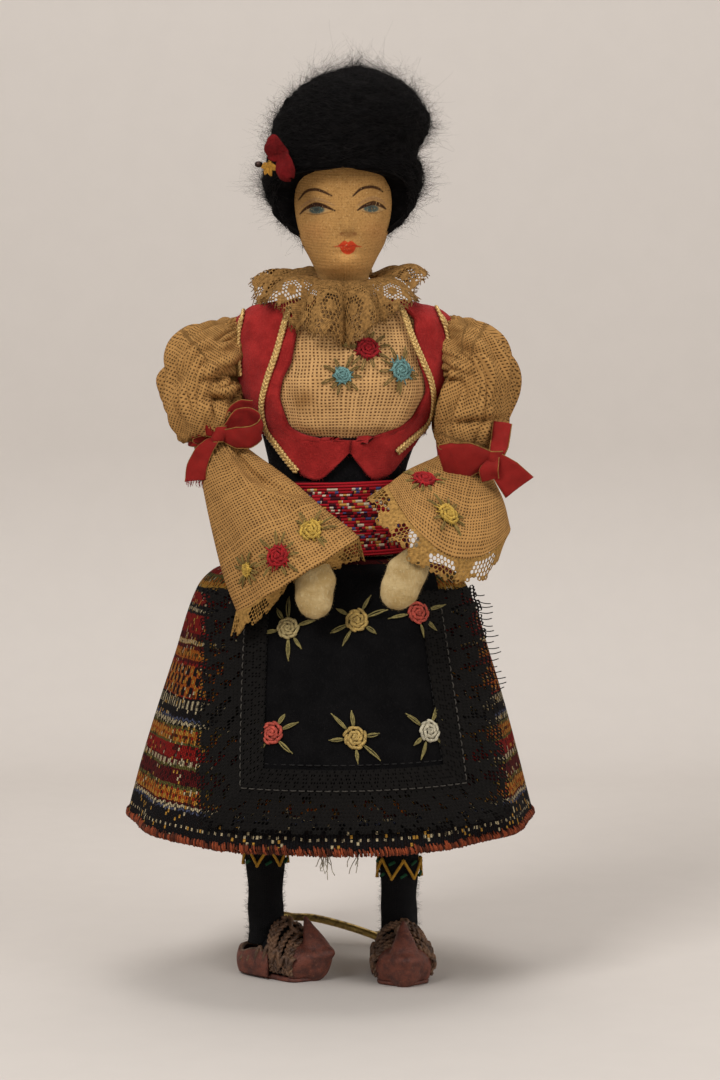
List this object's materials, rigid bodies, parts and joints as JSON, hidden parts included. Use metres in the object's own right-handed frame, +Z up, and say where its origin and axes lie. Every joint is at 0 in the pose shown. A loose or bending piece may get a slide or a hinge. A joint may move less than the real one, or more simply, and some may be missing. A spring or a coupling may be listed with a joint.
{
  "type": "cloth doll",
  "caption": "Standing cloth doll in folk costume, with a turning head, wire-armature arms and legs, layered skirt and apron, leather shoes and a bent wire stand.",
  "frame": {"origin": "centre of the footprint, on the floor under the soles", "axes": "+Z up, the doll faces -Y, its own left side is at +X"},
  "size_m": [0.1122, 0.0972, 0.244],
  "materials": {
    "body_cloth": "plain cotton over stuffing",
    "dowel_wood": "bare",
    "armature_wire": "drawn wire",
    "stand_wire": "dull drawn wire",
    "gauze": "open-weave cotton gauze",
    "vest_felt": "wool felt",
    "gold_braid": "plaited metallic braid",
    "collar_lace": "cotton lace",
    "cuff_lace": "cotton lace",
    "waistband": "black cotton",
    "sash": "woven wool with a small pattern",
    "skirt_wool": "woven wool in bands",
    "binding": "overcast wool",
    "petticoat": "white cotton",
    "apron_felt": "black felt with embroidery",
    "apron_lace": "black lace",
    "head_cloth": "fine gauze with a painted face",
    "hair": "mohair",
    "petal_felt": "felt",
    "flower_yarn": "yarn",
    "pin_metal": "dark enamel",
    "ribbon": "woven ribbon with gold edges",
    "hand_felt": "white felt",
    "knit": "knitted wool",
    "sole_leather": "plain",
    "shoe_leather": "plain",
    "strap_leather": "woven thongs"
  },
  "bodies": {
    "trunk": {"torso": "body_cloth", "hip_gusset": "body_cloth", "neck_dowel": "dowel_wood", "shoulder_wire": "armature_wire", "hip_wire": "armature_wire", "blouse": "gauze", "vest": "vest_felt", "braid_front_right": "gold_braid", "braid_front_left": "gold_braid", "braid_arm_right": "gold_braid", "braid_arm_left": "gold_braid", "lace_collar": "collar_lace", "waistband": "waistband", "sash": "sash", "skirt": "skirt_wool", "hem_binding": "binding", "petticoat": "petticoat", "apron": "apron_felt", "apron_lace": "apron_lace", "stand_wire": "stand_wire"},
    "head": {"head": "head_cloth", "hair": "hair", "flower_petals": "petal_felt", "flower_centre": "flower_yarn", "hair_pin": "pin_metal"},
    "right_upper_arm": {"right_upper_arm": "body_cloth", "right_elbow_pin": "armature_wire", "right_puff_sleeve": "gauze", "right_bow": "ribbon"},
    "right_forearm": {"right_forearm": "body_cloth", "right_bell_sleeve": "gauze", "right_cuff_lace": "cuff_lace", "right_hand": "hand_felt"},
    "left_upper_arm": {"left_upper_arm": "body_cloth", "left_elbow_pin": "armature_wire", "left_puff_sleeve": "gauze", "left_bow": "ribbon"},
    "left_forearm": {"left_forearm": "body_cloth", "left_bell_sleeve": "gauze", "left_cuff_lace": "cuff_lace", "left_hand": "hand_felt"},
    "right_leg": {"right_leg": "body_cloth", "right_stocking": "knit", "right_foot": "knit", "right_sole": "sole_leather", "right_toe_cap": "shoe_leather", "right_straps": "strap_leather", "right_counter": "shoe_leather"},
    "left_leg": {"left_leg": "body_cloth", "left_stocking": "knit", "left_foot": "knit", "left_sole": "sole_leather", "left_toe_cap": "shoe_leather", "left_straps": "strap_leather", "left_counter": "shoe_leather"}
  },
  "joints": [
    {"name": "head_turn", "type": "hinge", "parent": "trunk", "child": "head", "pos_m": [0.003, 0, 0.1843], "axis": [0, 0, 1], "range_deg": [-45, 45]},
    {"name": "right_shoulder", "type": "hinge", "parent": "trunk", "child": "right_upper_arm", "pos_m": [-0.0317, 0, 0.167], "axis": [-1, 0, 0], "range_deg": [0, 70]},
    {"name": "left_shoulder", "type": "hinge", "parent": "trunk", "child": "left_upper_arm", "pos_m": [0.0377, 0, 0.167], "axis": [-1, 0, 0], "range_deg": [0, 70]},
    {"name": "right_elbow", "type": "hinge", "parent": "right_upper_arm", "child": "right_forearm", "pos_m": [-0.032, -0.0085, 0.1395], "axis": [-1, 0, 0], "range_deg": [0, 30]},
    {"name": "left_elbow", "type": "hinge", "parent": "left_upper_arm", "child": "left_forearm", "pos_m": [0.0345, -0.0085, 0.135], "axis": [-1, 0, 0], "range_deg": [0, 30]},
    {"name": "right_hip", "type": "hinge", "parent": "trunk", "child": "right_leg", "pos_m": [-0.0182, 0, 0.1], "axis": [-1, 0, 0], "range_deg": [-10, 22]},
    {"name": "left_hip", "type": "hinge", "parent": "trunk", "child": "left_leg", "pos_m": [0.0182, 0, 0.1], "axis": [-1, 0, 0], "range_deg": [-10, 22]}
  ]
}
